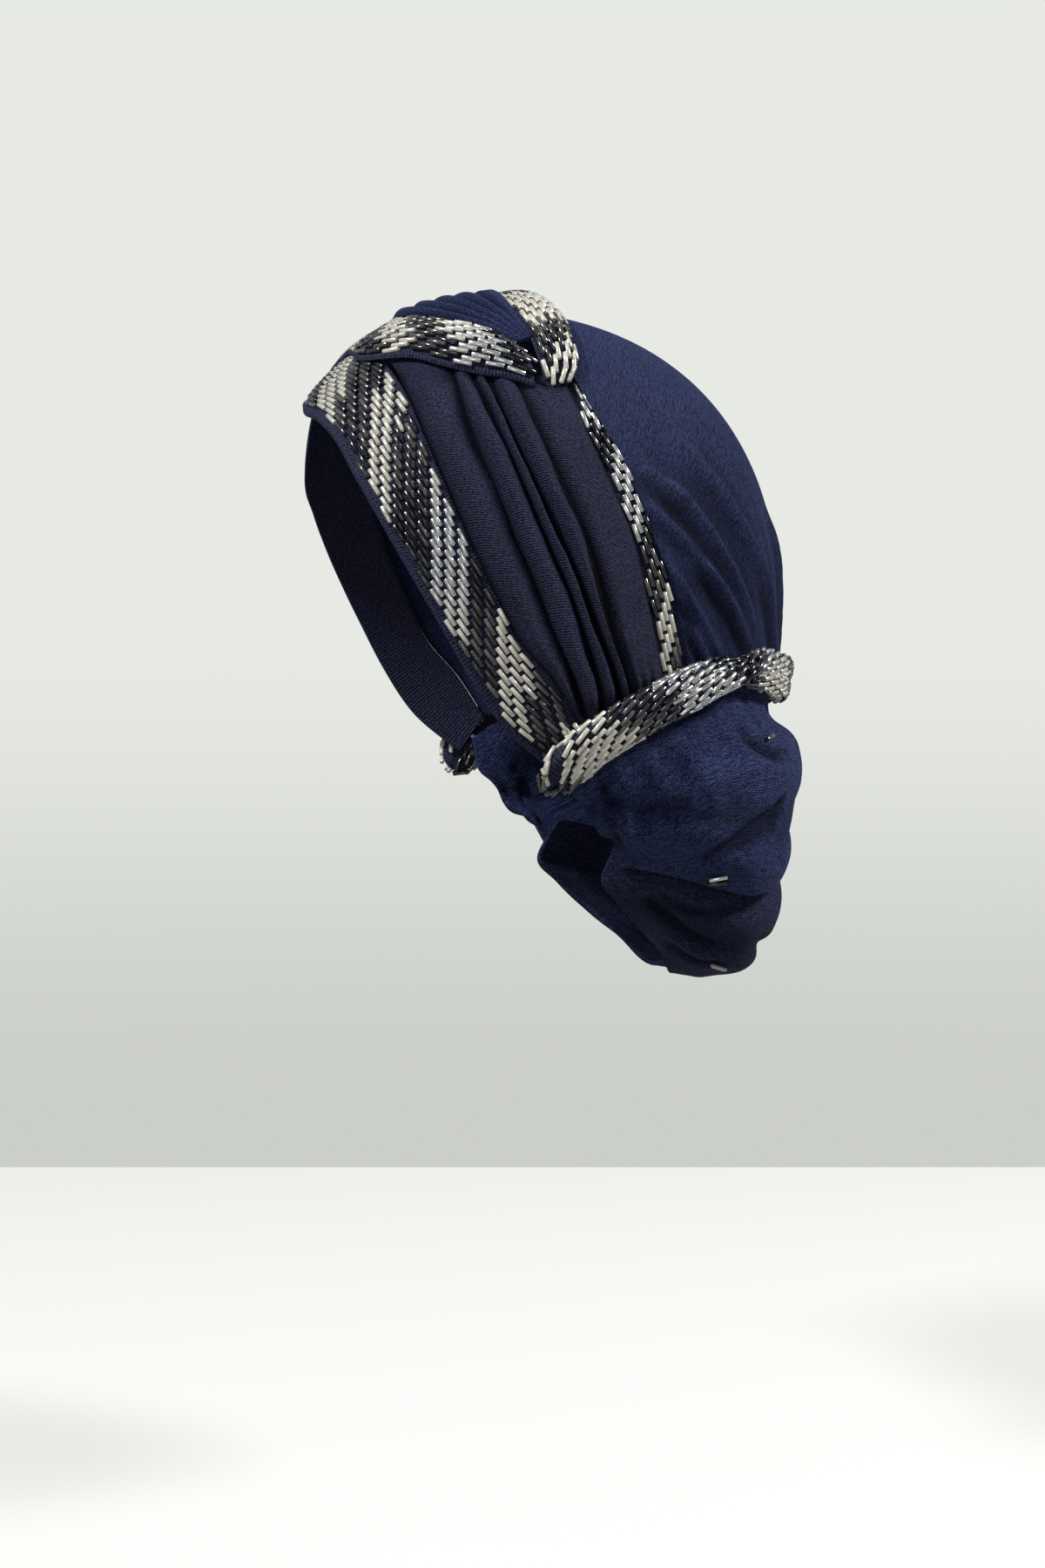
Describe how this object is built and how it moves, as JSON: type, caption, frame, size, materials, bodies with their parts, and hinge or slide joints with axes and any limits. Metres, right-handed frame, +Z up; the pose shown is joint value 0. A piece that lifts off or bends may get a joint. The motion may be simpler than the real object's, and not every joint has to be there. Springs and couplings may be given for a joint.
{
  "type": "turban headwrap",
  "caption": "Pleated knit turban headwrap with beaded edge bands crossing over the forehead, a gathered crown, a twisted tie and a hanging nape bag, in its worn form.",
  "frame": {"origin": "inside top of the crown, where the top of the head bears", "axes": "+Z up from the head, the face opening towards -Y, the wearer's left towards +X"},
  "size_m": [0.1822, 0.2081, 0.2833],
  "materials": {
    "beaded_band": "cream, silver and gunmetal bugle beads sewn in rows on navy knit",
    "navy_knit": "navy crinkled knit with a soft sheen"
  },
  "bodies": {
    "root": {"front_band_left": "beaded_band", "front_band_right": "beaded_band", "rear_band_left": "beaded_band", "rear_band_right": "beaded_band", "tie_band": "beaded_band", "panel_left": "navy_knit", "panel_right": "navy_knit", "crown_back": "navy_knit", "nape_bag": "navy_knit", "tail_fold": "navy_knit"}
  },
  "joints": []
}
